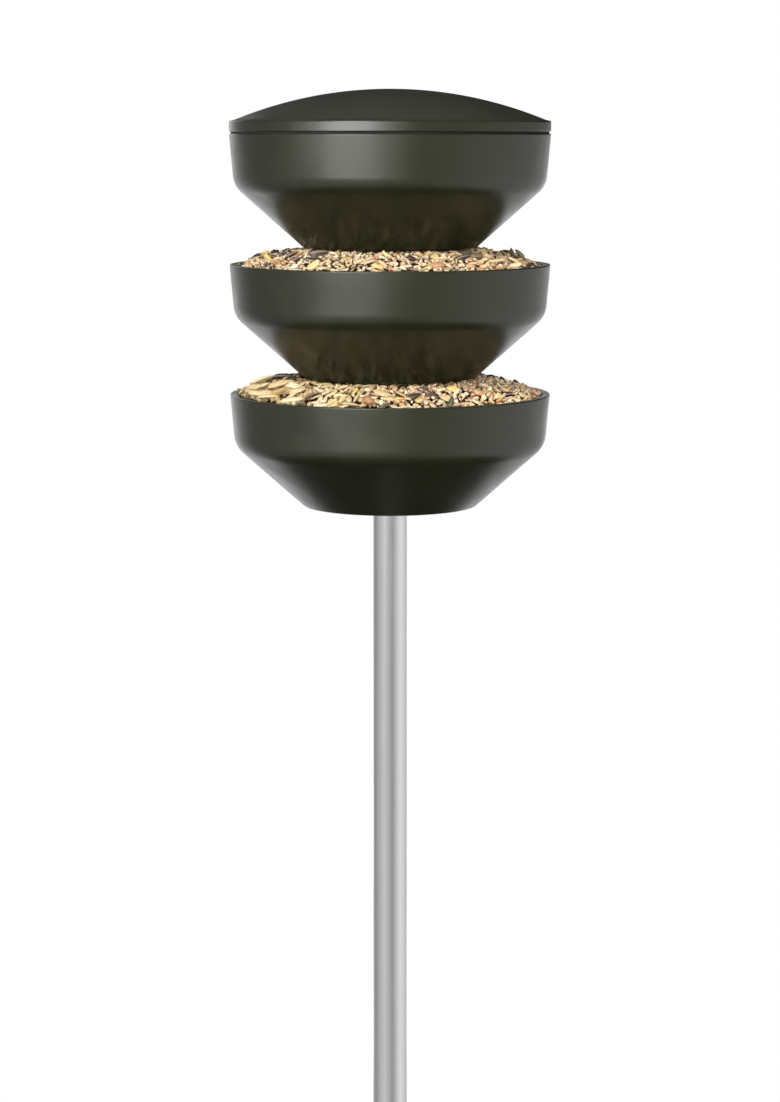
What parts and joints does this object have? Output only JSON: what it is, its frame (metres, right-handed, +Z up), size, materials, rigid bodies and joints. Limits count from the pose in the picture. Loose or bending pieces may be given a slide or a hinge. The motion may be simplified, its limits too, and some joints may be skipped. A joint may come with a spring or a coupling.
{
  "type": "bird feeding station",
  "caption": "Spiked pole carrying stacked open seed bowls under a domed lid; the closed top bowl stores seed that runs down through floor slots to the feeding bowls.",
  "frame": {"origin": "on the pole axis at ground level, at the underside of the spike's collar", "axes": "+Z up along the pole, +X to the right and -Y towards the viewer in the picture"},
  "size_m": [0.23, 0.23, 1.494],
  "materials": {
    "green_plastic": "satin",
    "drawn_tube": "satin",
    "turned_steel": "satin",
    "soft_washer": "matte",
    "spacer_plastic": "satin",
    "knob_plastic": "satin",
    "seed_mix": "matte"
  },
  "bodies": {
    "pole": {"ground_spike": "turned_steel", "lower_tube": "drawn_tube", "joining_stud": "turned_steel", "joining_socket": "turned_steel", "upper_tube": "drawn_tube", "support_disc": "turned_steel", "support_washer": "soft_washer", "tube_top_insert": "turned_steel"},
    "lower_bowl": {"lower_bowl": "green_plastic", "lower_spacer": "spacer_plastic", "seed_fill_lower": "seed_mix"},
    "middle_bowl": {"middle_bowl": "green_plastic", "upper_spacer": "spacer_plastic", "seed_fill_middle": "seed_mix"},
    "upper_bowl": {"upper_bowl": "green_plastic", "seed_fill_upper": "seed_mix"},
    "clamp_washer": {"clamp_washer": "turned_steel"},
    "clamp_knob": {"clamp_knob": "knob_plastic", "knob_stud": "turned_steel"},
    "lid": {"lid": "green_plastic"}
  },
  "joints": [
    {"name": "lower_bowl_lift", "type": "slide", "parent": "pole", "child": "lower_bowl", "axis": [0, 0, 1], "range_m": [0, 0.22]},
    {"name": "middle_bowl_lift", "type": "slide", "parent": "lower_bowl", "child": "middle_bowl", "axis": [0, 0, 1], "range_m": [0, 0.13]},
    {"name": "upper_bowl_lift", "type": "slide", "parent": "middle_bowl", "child": "upper_bowl", "axis": [0, 0, 1], "range_m": [0, 0.1]},
    {"name": "knob_rise", "type": "slide", "parent": "upper_bowl", "child": "clamp_washer", "axis": [0, 0, 1], "range_m": [0, 0.012]},
    {"name": "knob_turn", "type": "hinge", "parent": "clamp_washer", "child": "clamp_knob", "pos_m": [0, 0, 1.15], "axis": [0, 0, 1], "range_deg": [0, 2880]},
    {"name": "lid_lift", "type": "slide", "parent": "upper_bowl", "child": "lid", "axis": [0, 0, 1], "range_m": [0, 0.12]}
  ],
  "couplings": [
    {"joint": "knob_rise", "follows": "knob_turn", "m_per_rad": 0.00023873}
  ]
}
